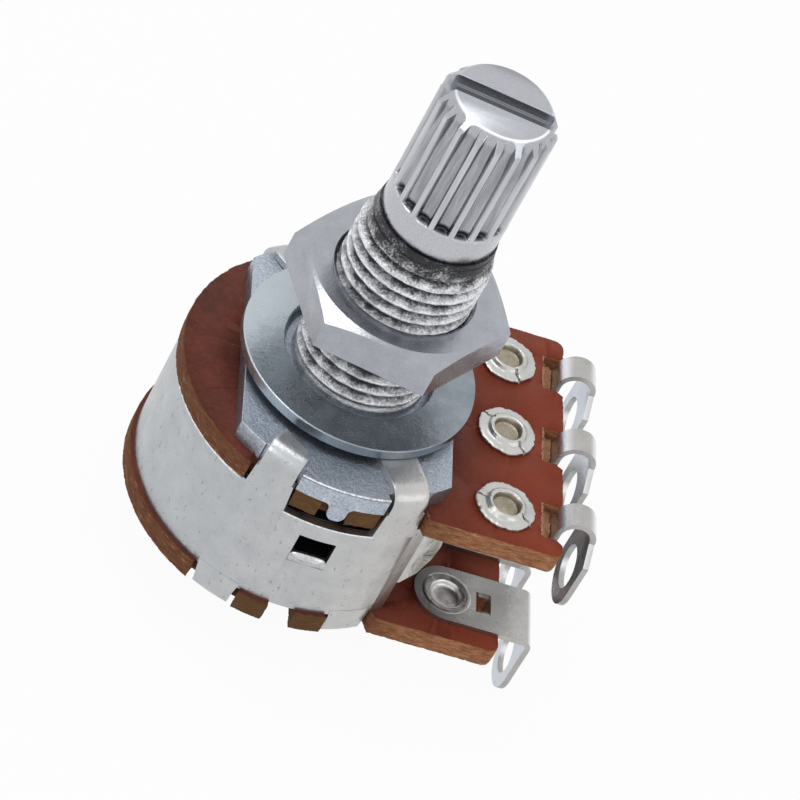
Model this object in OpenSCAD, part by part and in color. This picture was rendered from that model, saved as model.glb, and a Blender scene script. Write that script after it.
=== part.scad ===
// Two-gang rotary potentiometer for panel mounting.
// The origin is on the shaft axis, in the front face of the mounting plate.
// +Z runs along the shaft to its tip and +X to the solder terminals.

/* [Shaft] */
// Diameter of the knurled head and its collar
shaft_d = 6; // [5:0.1:7.2]
// Height of the shaft tip above the plate
shaft_reach = 19.1; // [15.5:0.1:23]
// Height of the plain collar under the knurl
collar_h = 1.6; // [1.2:0.1:2]
// Number of knurl ridges
knurl_teeth = 18; // [14:1:22]
// Depth of the grooves between the ridges
knurl_depth = 0.3; // [0.2:0.05:0.4]
// Width of one ridge at its top
ridge_w = 0.26; // [0.2:0.02:0.35]
// Height of the chamfer at the tip
tip_chamfer_h = 0.75; // [0.5:0.05:1]
// Width of the screwdriver slot
slot_w = 1.15; // [0.9:0.05:1.4]
// Depth of the screwdriver slot
slot_depth = 0.6; // [0.4:0.05:1]
// Direction of the slot at rest, in degrees from +X
slot_turn = -9; // [-90:1:90]

/* [Bushing and plate] */
// Major diameter of the threaded bushing
bushing_d = 7; // [5.8:0.1:8.4]
// Height of the bushing above the plate
bushing_len = 11.1; // [9:0.1:13.3]
// Pitch of the thread
thread_pitch = 0.75; // [0.6:0.05:0.9]
// Thickness of the plate
plate_t = 1.1; // [0.9:0.02:1.35]
// Reach of the plate towards the round side
plate_left = 5.6; // [4.6:0.05:6.8]
// Reach of the plate towards the terminals
plate_right = 5.3; // [4.3:0.05:6.3]
// Width of the locating nub at the front edge of the plate
nub_w = 0.95; // [0.75:0.05:1.15]

/* [Nut and washer] */
// Width of the nut across its flats
nut_af = 10; // [8.2:0.1:12]
// Thickness of the nut
nut_t = 2; // [1.6:0.1:2.4]
// Bare thread between the washer and the nut
nut_gap = 3.8; // [3:0.1:4.6]
// Turn of the nut about the bushing, in degrees
nut_turn = -12; // [-60:1:60]
// Outside diameter of the washer
washer_d = 12.2; // [10:0.1:14.6]
// Thickness of the washer
washer_t = 0.6; // [0.45:0.05:0.75]

/* [Housing] */
// Outside diameter of the sheet steel housing
can_d = 16.8; // [15.6:0.1:20]
// Thickness of the sheet
sheet = 0.4; // [0.3:0.01:0.48]
// Free height between the two boards
board_gap = 6.52; // [5.4:0.05:7.8]
// Angle of the free edges of the housing, each side of +X
mouth_angle = 52.5; // [44:0.5:56]

/* [Boards] */
// How far the front board's round edge stands past the housing
board_rim = 0.15; // [0.05:0.01:0.4]
// Thickness of the boards
board_t = 1.18; // [1:0.02:1.4]
// Length of the front board's tail past its round edge
front_tail_len = 3.1; // [2.9:0.05:3.7]
// Length of the rear board's tail past the same edge
rear_tail_len = 2.9; // [2.7:0.05:3.5]
// Width of the tails
tail_w = 15; // [12.4:0.1:17.9]

/* [Terminals] */
// Thickness of the terminal sheet
terminal_t = 0.3; // [0.24:0.02:0.36]
// Width of a terminal on its board
terminal_w = 3.5; // [2.9:0.1:4.2]
// Width of the neck that passes a notch
neck_w = 1.45; // [1.2:0.05:1.75]
// Length of a front solder lug, from its arch to its tip
lug_len = 4.7; // [4:0.1:5.6]
// Bore of the drawn eyelets
eyelet_bore = 1.25; // [1:0.05:1.5]

/* [Hidden] */
$fn = 96;
eps = 0.01;

// Radial play of the shaft in its bearing and of the driven pieces on it
run_play = 0.03;
fit_play = 0.02;

// Levels of the stack, from the plate down
front_board_top = -plate_t;
front_inner = front_board_top - board_t;
rear_inner = front_inner - board_gap;
rear_back = rear_inner - board_t;

// The housing
can_r = can_d / 2;
can_in = can_r - sheet;
board_r = can_r + board_rim;
rear_board_r = board_r + 0.1;
front_tail = board_r + front_tail_len;
rear_tail = board_r + rear_tail_len;
bend_r = sheet + 0.2;
short_tab = 1.5;
middle_tab = 2.8;
long_tab = 3.4;
rear_tab = 1.9;
tab_half = 1.0;
narrow_end = 0.6;
rear_end = 0.7;
long_end = 1.15;
// Each tab: its angle, half width at the bend, end radius, half width at the end
front_tabs = [
    [-114.2, tab_half, can_r - short_tab, narrow_end],
    [-66.5, tab_half, can_r - long_tab, long_end],
    [66.5, tab_half, can_r - short_tab, narrow_end],
    [119.5, tab_half, can_r - middle_tab, narrow_end]
];
rear_tabs = [
    [-115, tab_half, can_r - rear_tab, rear_end],
    [-66, tab_half, can_r - rear_tab, rear_end],
    [66, tab_half, can_r - rear_tab, rear_end],
    [115, tab_half, can_r - rear_tab, rear_end]
];
tab_foot = bend_r - sheet;
tab_proud = 0.02;
tab_bend = can_r + tab_proud - bend_r;
hole_turn = -91;
hole_w = 1.9;
hole_h = 1.45;
hole_floor = front_inner - 2.85;
ear_out = 1.05;
ear_drop = 4.48;
tab_room = 0.3;
tab_lap = 0.05;
window_drop = 0.4;
window_half = 2.55;

// The shaft inside the bushing, and what it drives
neck_r = bushing_d / 2 - 1;
bore_r = neck_r + run_play;
tongue_r = neck_r - 0.3;
tongue_flat = tongue_r - 0.45;
clip_t = 0.5;
clip_top = -plate_t - 0.05;
clip_groove_r = neck_r - 0.45;
clip_r = neck_r + 1.4;
hub_r = neck_r + 1.8;
crown_in = clip_r + 0.12;
crown_out = crown_in + 0.5;
centre_hole_r = crown_out + 0.15;
stop_half_angle = 14.7;
rotor_r = can_in - 0.85;
rotor_t = 1.5;
wiper_space = 1.15;
wiper_t = 0.15;

// The printed rings
print_t = 0.05;
ring_space = rotor_r - centre_hole_r;
collector_in = centre_hole_r + ring_space * 0.07;
collector_out = collector_in + ring_space * 0.22;
track_in = collector_out + ring_space * 0.14;
track_out = track_in + ring_space * 0.4;
track_half_gap = 38;

// The wipers' fingers, from their toes back to the foot on the rotor
finger_toe = 0.4;
finger_end = sqrt(pow(rotor_r - 0.3, 2) - pow((track_in + track_out) / 2, 2));
finger_run = finger_end - finger_toe;
wiper_from = 180 + asin(finger_end / (collector_in + collector_out));

// The terminals
pitch = tail_w * 0.34;
front_shift = -0.1;
rear_shift = 0.37;
eyelet_back = 3.15;
rear_eyelet_back = 3;
eyelet_r = eyelet_bore / 2 + 0.25;
eyelet_flange = 0.7;
rear_lug_len = lug_len - 0.4;
prong_back = 1.9;
prong_len = 0.8;
prong_w = 1.35;
lug_hole_w = terminal_w * 0.62;
notch_w = neck_w + 0.68;
notch_depth = 1.12;
arch_out = 1.05;
arch_in = arch_out - terminal_t;

// The thread, cut as rings of the same pitch and depth
thread_depth = 0.61 * thread_pitch;
thread_crest = thread_pitch / 4;
thread_top = bushing_len - 0.75;
thread_foot = 1.1;
thread_count = floor((thread_top - thread_foot) / thread_pitch);

washer_base = sheet;
washer_top = washer_base + washer_t;
nut_base = washer_top + nut_gap;

// A piece of ring from one angle to another
module ring_sector(r_in, r_out, a_from, a_to, z, h) {
    translate([0, 0, z]) rotate([0, 0, a_from])
        rotate_extrude(angle = a_to - a_from)
            translate([r_in, 0]) square([r_out - r_in, h]);
}

module ring(r_in, r_out, z, h) {
    translate([0, 0, z]) difference() {
        cylinder(r = r_out, h = h);
        translate([0, 0, -eps]) cylinder(r = r_in, h = h + 2 * eps);
    }
}

// Knurled head, collar, bearing neck and the flatted tongue that drives both rotors
module shaft() {
    head_r = shaft_d / 2;
    head_foot = bushing_len + 0.02;
    knurl_foot = bushing_len + collar_h;
    tongue_top = clip_top - clip_t - 0.25;
    tongue_foot = rear_back - 0.35;
    tip_r = head_r - 0.54;
    color("silver") difference() {
        union() {
            translate([0, 0, head_foot])
                cylinder(r = head_r, h = shaft_reach - tip_chamfer_h - head_foot);
            translate([0, 0, shaft_reach - tip_chamfer_h])
                cylinder(r1 = head_r, r2 = tip_r, h = tip_chamfer_h);
            translate([0, 0, tongue_top])
                cylinder(r = neck_r, h = head_foot - tongue_top + eps);
            translate([0, 0, tongue_foot])
                cylinder(r = tongue_r, h = tongue_top - tongue_foot + eps);
        }
        for (i = [0 : knurl_teeth - 1])
            rotate([0, 0, i * 360 / knurl_teeth + 19])
                translate([0, 0, knurl_foot]) knurl_groove(head_r);
        rotate([0, 0, slot_turn])
            translate([-shaft_d, -slot_w / 2, shaft_reach - slot_depth])
                cube([2 * shaft_d, slot_w, slot_depth + 1]);
        for (side = [0, 180])
            rotate([0, 0, side])
                translate([tongue_flat, -neck_r, tongue_foot - 1])
                    cube([neck_r, 2 * neck_r, tongue_top - tongue_foot + 1]);
        ring(clip_groove_r, neck_r + 1, clip_top - clip_t - eps, clip_t + 2 * eps);
    }
}

// One groove of the knurl, with its end rounded where the tool ran out
module knurl_groove(head_r) {
    gap = 2 * PI * head_r / knurl_teeth - ridge_w;
    root = head_r - knurl_depth;
    h = shaft_reach - bushing_len - collar_h + 1;
    linear_extrude(height = h)
        polygon([[root, -gap * 0.36], [head_r + 0.2, -gap * 0.56],
                 [head_r + 0.2, gap * 0.56], [root, gap * 0.36]]);
}

// Spring clip behind the plate that keeps the shaft in
module shaft_clip() {
    color("dimgray") ring_sector(clip_groove_r + 0.01, clip_r, 35, 325, clip_top - clip_t, clip_t);
}

// Cast bushing and mounting plate in one, with the locating nub and the rotation stop
module bushing_plate() {
    plate_r = can_in - 0.03;
    lobe_r = can_r - 0.05;
    lobe_half = 17;
    color("lightsteelblue") difference() {
        union() {
            intersection() {
                union() {
                    translate([0, 0, -plate_t]) cylinder(r = plate_r, h = plate_t);
                    for (side = [-90, 90])
                        ring_sector(plate_r - 1, lobe_r, side - lobe_half, side + lobe_half,
                                    -plate_t, plate_t);
                }
                translate([-plate_left, -can_r, -plate_t])
                    cube([plate_left + plate_right, 2 * can_r, plate_t]);
            }
            threaded_tube();
            locating_nub(lobe_r);
            ring_sector(crown_in, crown_out, -stop_half_angle, stop_half_angle,
                        front_inner + 0.1, board_t);
        }
        for (tab = front_tabs)
            rotate([0, 0, tab[0]])
                translate([can_in - tab_foot, -tab[1] - tab_room / 2, -plate_t - 1])
                    cube([can_r, 2 * tab[1] + tab_room, plate_t + 2]);
        translate([0, 0, -plate_t - 1]) cylinder(r = bore_r, h = bushing_len + plate_t + 2);
        translate([0, 0, bushing_len - 0.35]) cylinder(r1 = bore_r, r2 = bore_r + 0.36, h = 0.36);
    }
}

module threaded_tube() {
    major = bushing_d / 2;
    root = major - thread_depth;
    flank = (thread_pitch - thread_crest) / 2;
    rotate_extrude() polygon(concat(
        [[0, -plate_t], [major + 0.35, -plate_t], [major + 0.35, 0.35], [major, 0.7]],
        [for (i = [0 : thread_count - 1], p = [0 : 3])
            [p == 0 || p == 3 ? major : root,
             thread_foot + i * thread_pitch
                 + (p == 0 ? 0 : p == 1 ? flank : p == 2 ? flank + 0.02 : 2 * flank)]],
        [[major, bushing_len - 0.6], [major - 0.17, bushing_len - 0.5],
         [major - 0.17, bushing_len - 0.2], [major - 0.32, bushing_len], [0, bushing_len]]));
}

// Small round-ended nub that reaches down over the front board's edge
module locating_nub(lobe_r) {
    reach = plate_t + 1;
    translate([0, 0.52 - lobe_r, 0]) rotate([90, 0, 0]) {
        translate([-nub_w / 2, nub_w / 2 - reach, 0])
            cube([nub_w, reach - nub_w / 2 - 0.3, 0.5]);
        translate([0, nub_w / 2 - reach, 0]) cylinder(d = nub_w, h = 0.5);
    }
}

// Nut with its front corners turned off to a cone
module hex_nut() {
    corner_r = nut_af / sqrt(3);
    color("lightsteelblue") translate([0, 0, nut_base]) rotate([0, 0, nut_turn]) difference() {
        intersection() {
            cylinder(r = corner_r, h = nut_t, $fn = 6);
            union() {
                cylinder(r = corner_r + 0.1, h = nut_t - 0.45);
                translate([0, 0, nut_t - 0.45])
                    cylinder(r1 = corner_r + 0.1, r2 = nut_af / 2 - 0.2, h = 0.45);
            }
        }
        translate([0, 0, -1]) cylinder(r = bushing_d / 2 + 0.02, h = nut_t + 2);
        translate([0, 0, nut_t - 0.2])
            cylinder(r1 = bushing_d / 2, r2 = bushing_d / 2 + 0.25, h = 0.25);
    }
}

module flat_washer() {
    color("lightsteelblue") translate([-0.08, 0, 0])
        ring(bushing_d / 2 + 0.45, washer_d / 2, washer_base, washer_t);
}

// Sheet steel shell: a round wall, folded tabs front and rear, and two ears at the mouth
module housing() {
    color("gainsboro") {
        difference() {
            ring_sector(can_in, can_r, mouth_angle, 360 - mouth_angle, rear_inner, board_gap);
            for (side = [-90, 90])
                rotate([0, 0, side])
                    translate([can_in / 2, -window_half, front_inner - window_drop])
                        cube([can_in, 2 * window_half, 2 * window_drop]);
            lanced_hole();
        }
        lanced_tongue();
        for (tab = front_tabs)
            rotate([0, 0, tab[0]]) folded_tab(tab, -front_inner + window_drop + 0.15);
        for (tab = rear_tabs)
            translate([0, 0, rear_back]) mirror([0, 0, 1])
                rotate([0, 0, tab[0]]) folded_tab(tab, board_t + 0.3);
        for (side = [0, 1])
            mirror([0, side, 0]) mouth_ear();
    }
}

// Strip from z = -depth in the wall up past a board's edge, folded flat over it at z = 0
module folded_tab(tab, depth) {
    spread = 14;
    intersection() {
        rotate([0, 0, -spread]) rotate_extrude(angle = 2 * spread) {
            translate([tab_bend + tab_foot, -depth]) square([sheet, depth - tab_foot]);
            translate([tab_bend, -tab_foot]) intersection() {
                difference() {
                    circle(r = bend_r, $fn = 48);
                    circle(r = tab_foot, $fn = 48);
                }
                square(bend_r);
            }
            translate([tab[2] - 0.5, 0]) square([tab_bend - tab[2] + 0.5, sheet]);
        }
        tab_mask(tab, depth);
    }
}

// Outline of a tab, narrowing to its end on top and a little wider down the wall
module tab_mask(tab, depth) {
    translate([0, 0, -tab_foot]) linear_extrude(height = bend_r + 0.1)
        polygon([[tab[2], -tab[3] + 0.15], [tab[2] + 0.2, -tab[3]], [tab_bend, -tab[1]],
                 [can_r + 1, -tab[1]], [can_r + 1, tab[1]], [tab_bend, tab[1]],
                 [tab[2] + 0.2, tab[3]], [tab[2], tab[3] - 0.15]]);
    translate([can_in - 1, 0, 0]) rotate([90, 0, 90]) linear_extrude(height = 3)
        polygon([[-tab[1], tab_lap - tab_foot], [-tab[1], -tab_foot],
                 [-tab[1] - 0.2, -depth - 0.1], [tab[1] + 0.2, -depth - 0.1],
                 [tab[1], -tab_foot], [tab[1], tab_lap - tab_foot]]);
}

module lanced_hole() {
    rotate([0, 0, hole_turn]) translate([can_in / 2, -hole_w / 2, hole_floor])
        cube([can_in, hole_w, hole_h]);
}

// Lower lip of the lanced hole, rolled over and a little proud of the wall
module lanced_tongue() {
    lip_r = 0.27;
    lip_proud = 0.1;
    rotate([0, 0, hole_turn])
        translate([can_r + lip_proud - lip_r, -hole_w / 2, hole_floor + 0.05 - lip_r])
            rotate([-90, 0, 0]) cylinder(r = lip_r, h = hole_w);
}

// Ear turned out of the wall's free edge, under the front board's shoulder
module mouth_ear() {
    edge_x = can_r * cos(mouth_angle);
    edge_y = can_r * sin(mouth_angle);
    root_x = can_in * cos(mouth_angle) - 0.1;
    top = front_inner - fit_play;
    translate([0, 0.06 + sheet - edge_y, 0]) rotate([90, 0, 0]) linear_extrude(height = sheet)
        polygon([[root_x, top - 0.13 * ear_drop], [edge_x, top],
                 [edge_x + 0.86 * ear_out, top], [edge_x + ear_out, top - 0.28 * ear_drop],
                 [edge_x + 0.9 * ear_out, top - 0.51 * ear_drop],
                 [edge_x + 0.62 * ear_out, top - 0.78 * ear_drop],
                 [edge_x + 0.1 * ear_out, top - ear_drop], [root_x, top - ear_drop]]);
}

// Round board with a straight tail, without its holes
module board_blank(r, reach, z) {
    corner = 0.55;
    half = tail_w / 2;
    translate([0, 0, z]) {
        cylinder(r = r, h = board_t);
        translate([0, -half, 0]) cube([reach - corner, tail_w, board_t]);
        translate([0, corner - half, 0]) cube([reach, tail_w - 2 * corner, board_t]);
        for (side = [-1, 1])
            translate([reach - corner, side * (half - corner), 0])
                cylinder(r = corner, h = board_t);
    }
}

// Room in a board's edge for the housing's tabs
module tab_recesses(tabs, z) {
    for (tab = tabs)
        rotate([0, 0, tab[0]])
            translate([tab_bend, -tab[1] - tab_room, z - 1])
                cube([can_r, 2 * (tab[1] + tab_room), board_t + 2]);
}

module eyelet_holes(x, shift, z) {
    for (i = [-1 : 1])
        translate([x, i * pitch + shift, z - 1])
            cylinder(r = eyelet_r + fit_play, h = board_t + 2);
}

// Laminate board with three notches in the end of its tail
module front_board() {
    z = front_inner;
    color("sienna") difference() {
        board_blank(board_r, front_tail, z);
        translate([0, 0, z - 1]) cylinder(r = centre_hole_r, h = board_t + 2);
        tab_recesses(front_tabs, z);
        eyelet_holes(front_tail - eyelet_back, front_shift, z);
        for (i = [-1 : 1])
            translate([front_tail - notch_depth, i * pitch + front_shift, z - 1]) end_notch();
        translate([-nub_w / 2 - 0.4, -board_r - 0.1, z - 1])
            cube([nub_w + 0.5, 0.9, board_t + 2]);
    }
}

// Notch with one flared corner
module end_notch() {
    flare = 0.4;
    linear_extrude(height = board_t + 2)
        polygon([[0, -notch_w / 2], [notch_depth - flare, -notch_w / 2],
                 [notch_depth + 0.1, -notch_w / 2 - flare], [notch_depth + 0.1, notch_w / 2],
                 [0, notch_w / 2]]);
}

module rear_board() {
    z = rear_back;
    color("sienna") difference() {
        board_blank(rear_board_r, rear_tail, z);
        translate([0, 0, z - 1]) cylinder(r = tongue_r + 0.1, h = board_t + 2);
        tab_recesses(rear_tabs, z);
        eyelet_holes(rear_tail - rear_eyelet_back, rear_shift, z);
        rim_notch(z);
        for (i = [-1 : 1])
            translate([rear_tail - rear_eyelet_back + prong_back - fit_play,
                       i * pitch + rear_shift - prong_w / 2 - fit_play, z - 1])
                cube([prong_len + 2 * fit_play, prong_w + 2 * fit_play, board_t + 2]);
    }
}

// Gauging notch in the rim of the rear board, with one worn corner
module rim_notch(z) {
    half = 0.6;
    floor_y = 1.6 - rear_board_r;
    mouth_y = -rear_board_r - 0.2;
    translate([0, 0, z - 1]) linear_extrude(height = board_t + 2)
        polygon([[-half, floor_y], [half, floor_y], [half, mouth_y],
                 [-half - 0.5, mouth_y], [-half - 0.15, mouth_y + 0.35]]);
}

// Carbon arc between the outer terminals, printed on the side z_side of level z
module track(eyelet_x, shift, z) {
    color("black") difference() {
        union() {
            ring_sector(track_in, track_out, track_half_gap, 360 - track_half_gap, z, print_t);
            for (side = [-1, 1])
                track_lead(side, eyelet_x, shift, z);
        }
        for (side = [-1, 1])
            translate([eyelet_x, side * pitch + shift, z - 1])
                cylinder(r = terminal_w / 2 + 0.01, h = 2);
    }
}

module track_lead(side, eyelet_x, shift, z) {
    mid_r = (track_in + track_out) / 2;
    from = [mid_r * cos(track_half_gap), side * mid_r * sin(track_half_gap)];
    to = [eyelet_x, side * pitch + shift];
    run = to - from;
    translate([from[0], from[1], z]) rotate([0, 0, atan2(run[1], run[0])])
        translate([-0.3, -0.5, 0]) cube([norm(run), 1, print_t]);
}

// Conductor ring of the middle terminal, with its lead
module collector(eyelet_x, shift, z) {
    lead_end = eyelet_x - terminal_w / 2 - 0.01;
    color("silver") {
        ring(collector_in, collector_out, z, print_t);
        translate([(collector_in + collector_out) / 2, shift - 0.5, z])
            cube([lead_end - (collector_in + collector_out) / 2, 1, print_t]);
    }
}

module front_track() {
    track(front_tail - eyelet_back, front_shift, front_inner - print_t);
}

module front_collector() {
    collector(front_tail - eyelet_back, front_shift, front_inner - print_t);
}

module rear_track() {
    track(rear_tail - rear_eyelet_back, rear_shift, rear_inner);
}

module rear_collector() {
    collector(rear_tail - rear_eyelet_back, rear_shift, rear_inner);
}

// Moulded disc on the shaft's tongue, its wiper face up at z = 0 and its hub below
module rotor_body(hub_len) {
    difference() {
        union() {
            translate([0, 0, -rotor_t]) cylinder(r = rotor_r, h = rotor_t);
            translate([0, 0, -rotor_t - hub_len]) cylinder(r = hub_r, h = hub_len + eps);
        }
        intersection() {
            translate([0, 0, -rotor_t - hub_len - 1])
                cylinder(r = tongue_r + fit_play, h = rotor_t + hub_len + 2);
            translate([-tongue_flat - fit_play, -neck_r, -rotor_t - hub_len - 1])
                cube([2 * tongue_flat + 2 * fit_play, 2 * neck_r, rotor_t + hub_len + 2]);
        }
        for (a = [60, 120, 240, 300])
            rotate([0, 0, a]) translate([rotor_r - 2, 0, -rotor_t - 1])
                cylinder(r = 0.8, h = rotor_t + 2);
    }
}

rotor_hub = board_gap / 2 - wiper_space - rotor_t - 0.01;

// The front rotor also carries the dog that meets the stop behind the plate
module front_rotor() {
    face = front_inner - wiper_space;
    color("#202022") {
        translate([0, 0, face]) rotor_body(rotor_hub);
        ring_sector(crown_in + 0.02, crown_out - 0.02, 180 - stop_half_angle,
                    180 + stop_half_angle, face - eps, wiper_space + board_t * 0.6);
    }
}

module rear_rotor() {
    color("#202022") translate([0, 0, rear_inner + wiper_space])
        mirror([0, 0, 1]) rotor_body(rotor_hub);
}

// Spring with one finger on the track and one on the collector, its foot at z = 0
module wiper() {
    color("goldenrod") {
        ring_sector(collector_in, rotor_r - 0.05, wiper_from, wiper_from + 38, 0, wiper_t);
        spring_finger(track_in, track_out);
        spring_finger(collector_in, collector_out);
    }
}

// Finger over the ring between two radii, narrower than the ring
module spring_finger(r_in, r_out) {
    rise = wiper_space - print_t - 0.2;
    finger_w = min(0.5, 0.9 * (r_out - r_in));
    translate([-(r_in + r_out) / 2, 0, 0]) rotate([0, 0, 180]) {
        translate([-finger_w / 2, -0.1, rise]) cube([finger_w, finger_toe + 0.2, wiper_t]);
        translate([-finger_w / 2, finger_toe, rise + wiper_t])
            rotate([atan2(-rise, finger_run), 0, 0]) translate([0, 0, -wiper_t])
                cube([finger_w, norm([finger_run, rise]), wiper_t]);
        translate([0, 0.2, rise]) sphere(r = 0.18, $fn = 48);
    }
}

module front_wiper() {
    translate([0, 0, front_inner - wiper_space]) wiper();
}

module rear_wiper() {
    translate([0, 0, rear_inner + wiper_space]) mirror([0, 0, 1]) wiper();
}

// Hollow rivet drawn from the strip, through the board and flared: strip face at z = 0
module drawn_eyelet() {
    bore = eyelet_bore / 2;
    far = board_t;
    rotate_extrude() polygon([
        [bore, -terminal_t], [eyelet_r, -terminal_t], [eyelet_r, far],
        [eyelet_r + eyelet_flange, far], [eyelet_r + eyelet_flange - 0.1, far + 0.28],
        [eyelet_r + 0.25, far + 0.6], [bore + 0.12, far + 0.62], [bore, far + 0.35]]);
}

// Flat strip with a round end about the eyelet, from z = -terminal_t to 0
module terminal_strip(length) {
    difference() {
        union() {
            translate([0, 0, -terminal_t]) cylinder(d = terminal_w, h = terminal_t);
            translate([0, -terminal_w / 2, -terminal_t]) cube([length, terminal_w, terminal_t]);
        }
        translate([0, 0, -terminal_t - 1]) cylinder(r = eyelet_r - 0.05, h = terminal_t + 2);
    }
    drawn_eyelet();
}

// Solder lug in the plane x = 0, hanging from z = 0, with shoulders as deep as shoulder
module solder_lug(top_w, shoulder, length) {
    half = terminal_w / 2;
    difference() {
        union() {
            rotate([90, 0, 90]) linear_extrude(height = terminal_t)
                polygon([[-top_w / 2, 0], [top_w / 2, 0], [half, -shoulder],
                         [half, half - length], [-half, half - length], [-half, -shoulder]]);
            translate([0, 0, half - length]) rotate([0, 90, 0])
                cylinder(r = half, h = terminal_t);
        }
        translate([-1, 0, -length * 0.56]) oval_bore(length * 0.5);
    }
}

module oval_bore(h) {
    straight = h - lug_hole_w;
    for (side = [-0.5, 0.5])
        translate([0, 0, side * straight]) rotate([0, 90, 0])
            cylinder(d = lug_hole_w, h = 2 + terminal_t);
    translate([0, -lug_hole_w / 2, -straight / 2])
        cube([2 + terminal_t, lug_hole_w, straight]);
}

// Quarter bend of the sheet about the Y axis, from the +X side towards +Z
module sheet_bend(r_in, w, a_from, a_to) {
    rotate([90, 0, 0]) rotate([0, 0, a_from]) rotate_extrude(angle = a_to - a_from)
        translate([r_in, -w / 2]) square([terminal_t, w]);
}

// Terminal under the front board: through a notch, over an arch and down to the lug
module front_terminal(i) {
    x0 = front_tail - eyelet_back;
    riser_x = front_tail - 0.45;
    foot_r = 0.3;
    arch_z = -plate_t - arch_out + 1.05;
    strip_end = riser_x - foot_r - x0;
    color("silver") translate([0, i * pitch + front_shift, 0]) {
        translate([x0, 0, front_inner]) terminal_strip(strip_end - 0.5);
        translate([x0, -neck_w / 2, front_inner - terminal_t])
            cube([strip_end, neck_w, terminal_t]);
        translate([riser_x - foot_r, 0, front_inner + foot_r])
            sheet_bend(foot_r, neck_w, 270, 360);
        translate([riser_x, -neck_w / 2, front_inner + foot_r])
            cube([terminal_t, neck_w, arch_z - front_inner - foot_r]);
        translate([riser_x + arch_out, 0, arch_z]) sheet_bend(arch_in, neck_w, 0, 180);
        translate([riser_x + 2 * arch_out - terminal_t, 0, arch_z]) 
            solder_lug(neck_w, 0.75, lug_len);
    }
}

// Terminal on the rear board's front face, bent straight down past the tail
module rear_terminal(i) {
    x0 = rear_tail - rear_eyelet_back;
    lug_x = rear_tail + 1.45;
    bend_in = 0.25;
    color("silver") translate([0, i * pitch + rear_shift, 0]) {
        translate([x0, 0, rear_inner]) mirror([0, 0, 1]) difference() {
            terminal_strip(lug_x - bend_in - x0);
            translate([prong_back, -prong_w / 2, -terminal_t - 1])
                cube([prong_len - terminal_t, prong_w, terminal_t + 2]);
        }
        translate([x0 + prong_back + prong_len - terminal_t, -prong_w / 2, rear_back + 0.2])
            cube([terminal_t, prong_w, board_t + terminal_t - 0.2]);
        translate([lug_x - bend_in, 0, rear_inner - bend_in])
            sheet_bend(bend_in, terminal_w, 0, 90);
        translate([lug_x, 0, rear_inner - bend_in]) solder_lug(terminal_w, 0.3, rear_lug_len);
    }
}

module front_terminal_1() { front_terminal(1); }
module front_terminal_2() { front_terminal(0); }
module front_terminal_3() { front_terminal(-1); }
module rear_terminal_1() { rear_terminal(1); }
module rear_terminal_2() { rear_terminal(0); }
module rear_terminal_3() { rear_terminal(-1); }

shaft();
shaft_clip();
bushing_plate();
hex_nut();
flat_washer();
housing();
front_board();
front_track();
front_collector();
front_rotor();
front_wiper();
front_terminal_1();
front_terminal_2();
front_terminal_3();
rear_board();
rear_track();
rear_collector();
rear_rotor();
rear_wiper();
rear_terminal_1();
rear_terminal_2();
rear_terminal_3();
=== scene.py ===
"""Looks of the two-gang rotary potentiometer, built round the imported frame."""
import contextlib
import math
import random
import bmesh
import bpy
from mathutils import Matrix, Vector, noise


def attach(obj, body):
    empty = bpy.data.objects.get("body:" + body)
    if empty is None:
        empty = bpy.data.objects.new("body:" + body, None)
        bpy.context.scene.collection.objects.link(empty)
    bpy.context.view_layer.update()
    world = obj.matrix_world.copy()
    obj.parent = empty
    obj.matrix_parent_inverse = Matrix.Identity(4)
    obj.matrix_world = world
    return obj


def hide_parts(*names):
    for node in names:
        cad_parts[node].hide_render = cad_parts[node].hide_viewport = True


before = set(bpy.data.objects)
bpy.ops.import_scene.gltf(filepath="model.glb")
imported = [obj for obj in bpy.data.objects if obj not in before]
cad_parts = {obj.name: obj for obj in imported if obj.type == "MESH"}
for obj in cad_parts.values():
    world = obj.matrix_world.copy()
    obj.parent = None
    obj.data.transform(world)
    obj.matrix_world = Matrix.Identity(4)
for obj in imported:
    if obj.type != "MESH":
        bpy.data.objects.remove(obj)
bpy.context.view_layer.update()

MM = 0.001
TAU = 2 * math.pi

# Sizes in millimetres of the part itself, as its source has them or fitted closely to it
SHAFT_R = 3.0
SHAFT_TOP = 19.1
HEAD_FOOT = 11.12
KNURL_FOOT = 12.7
KNURL_TEETH = 18
KNURL_TURN = math.radians(19)
KNURL_DEPTH = 0.3
RIDGE_W = 0.26
TIP_CHAMFER = 0.75
TIP_R = 2.46
SLOT_W = 1.15
SLOT_DEPTH = 0.6
SLOT_TURN = math.radians(-9)
BUSHING_R = 3.5
BUSHING_TOP = 11.1
BORE_R = 2.53
PITCH = 0.75
FLOOR_Z = -13.4
FRONT_BOARD_Z = -1.1
REAR_BACK_Z = -9.98
FRONT_EYELET_X = 8.5
REAR_EYELET_X = 8.45
EYELET_PITCH = 5.1
FRONT_SHIFT = -0.1
REAR_SHIFT = 0.37
NOTCH_X = 10.53
NOTCH_W = 2.13
RISER_X = 11.2
BOARD_T = 1.18
TERMINAL_T = 0.3
PRONG_BACK = 1.9
PLATE_FRONT_R = 8.35
CAN_R = 8.42
TAB_TOP = 0.4
HOLE_TURN = math.radians(-91)
HOLE_FLOOR = -5.13

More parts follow.
